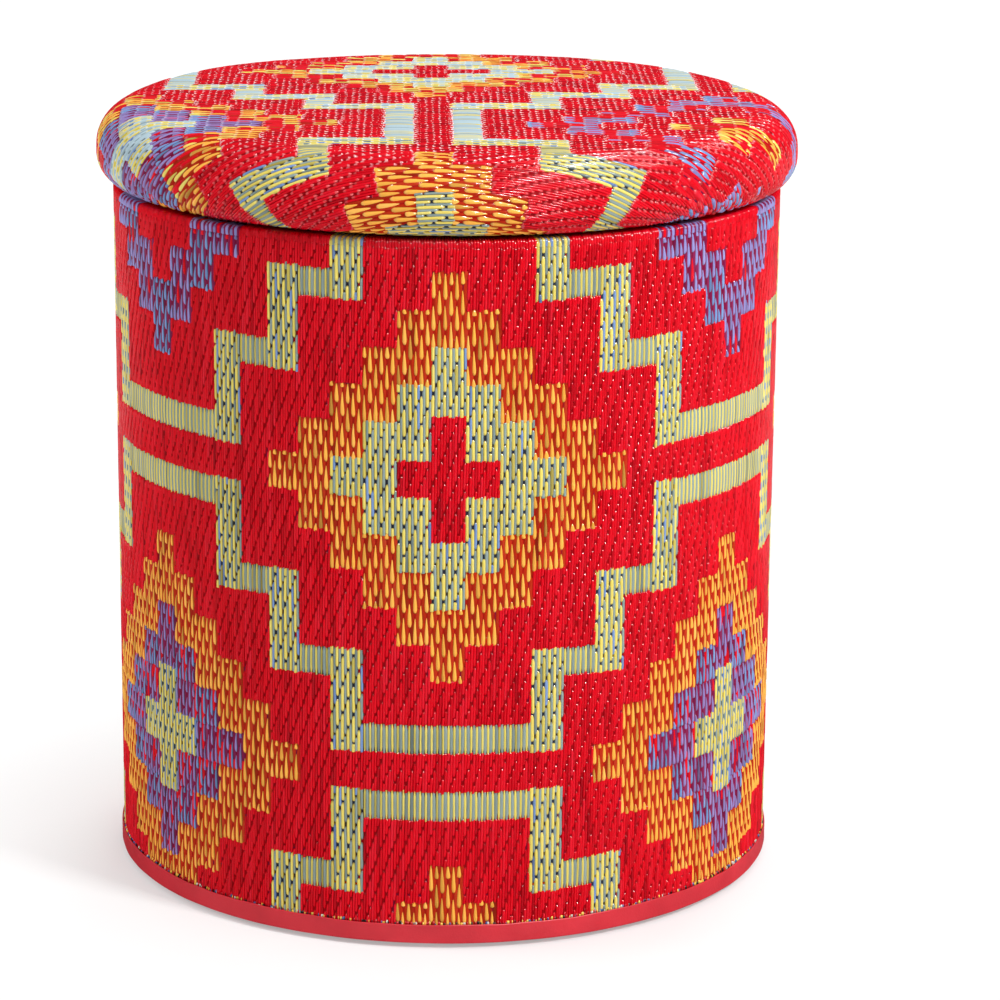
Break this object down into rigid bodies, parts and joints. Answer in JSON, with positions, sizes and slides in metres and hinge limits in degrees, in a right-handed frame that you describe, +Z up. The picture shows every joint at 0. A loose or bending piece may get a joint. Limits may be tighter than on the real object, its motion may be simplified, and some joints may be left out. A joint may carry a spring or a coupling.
{
  "type": "storage pouf",
  "caption": "Round storage pouf: a drum covered in woven straw matting with a loose padded lid that lifts off, a vinyl band round the foot and a lined space inside.",
  "frame": {"origin": "on the floor, at the centre of the drum", "axes": "+Z up, -Y towards the front, +X to the viewer's right; the cover's seam is at +Y"},
  "size_m": [0.4048, 0.4048, 0.448],
  "materials": {
    "plywood": "sanded plywood",
    "steel_wire": "bright wire",
    "woven_straw": "woven plastic straw, sheen",
    "red_vinyl": "smooth matte vinyl",
    "dust_cover": "non-woven cloth",
    "black_plastic": "moulded",
    "lining_cloth": "plain cotton",
    "foam": "upholstery foam",
    "wadding": "polyester wadding"
  },
  "bodies": {
    "drum": {"drum_wall": "plywood", "seam_batten": "plywood", "batten_staples": "steel_wire", "base_board": "plywood", "base_staples": "steel_wire", "top_hoop": "plywood", "hoop_staples": "steel_wire", "side_cover": "woven_straw", "rim_staples": "steel_wire", "foot_band": "red_vinyl", "underside_cover": "dust_cover", "band_staples": "steel_wire", "glides": "black_plastic", "glide_nails": "steel_wire", "side_lining": "lining_cloth", "floor_pad": "lining_cloth"},
    "lid": {"lid_board": "plywood", "lid_foam": "foam", "lid_wadding": "wadding", "lid_cover": "woven_straw", "lid_lining": "lining_cloth", "lid_staples": "steel_wire", "lid_ring": "plywood", "ring_screws": "steel_wire"}
  },
  "joints": [
    {"name": "lid_lift", "type": "slide", "parent": "drum", "child": "lid", "axis": [0, 0, 1], "range_m": [0, 0.3]}
  ]
}
